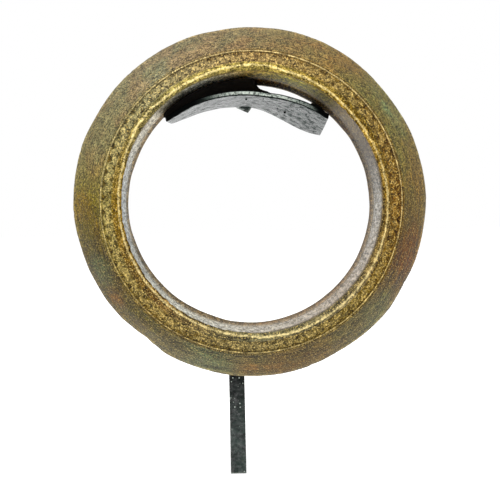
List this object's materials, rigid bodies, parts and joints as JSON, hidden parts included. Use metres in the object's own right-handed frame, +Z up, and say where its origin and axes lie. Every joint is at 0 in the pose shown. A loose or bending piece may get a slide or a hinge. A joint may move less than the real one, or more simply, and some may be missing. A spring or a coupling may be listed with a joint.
{
  "type": "decorated bronze ring on display stand",
  "caption": "Heavy cast metal ring with bevelled sides and a punched band, hung on the padded saddle of a slim black stand.",
  "frame": {"origin": "middle of the square post's foot, at the mouth of the tapped hole", "axes": "+Z up along the post, the ring's axis along Y, and the front of the ring and stand facing -Y"},
  "size_m": [0.1059, 0.04, 0.1395],
  "materials": {
    "bronze": "dull patina, lips polished by wear",
    "black_paint": "satin black paint on steel",
    "black_felt": "black felt"
  },
  "bodies": {
    "stand": {"post": "black_paint", "support_arm": "black_paint", "hanger": "black_paint", "saddle_strip": "black_paint", "saddle_pad_left": "black_felt", "saddle_pad_right": "black_felt"},
    "ring": {"ring_casting": "bronze"}
  },
  "joints": [
    {"name": "ring_draw", "type": "slide", "parent": "stand", "child": "ring", "axis": [0, -1, 0], "range_m": [0, 0.045]}
  ]
}
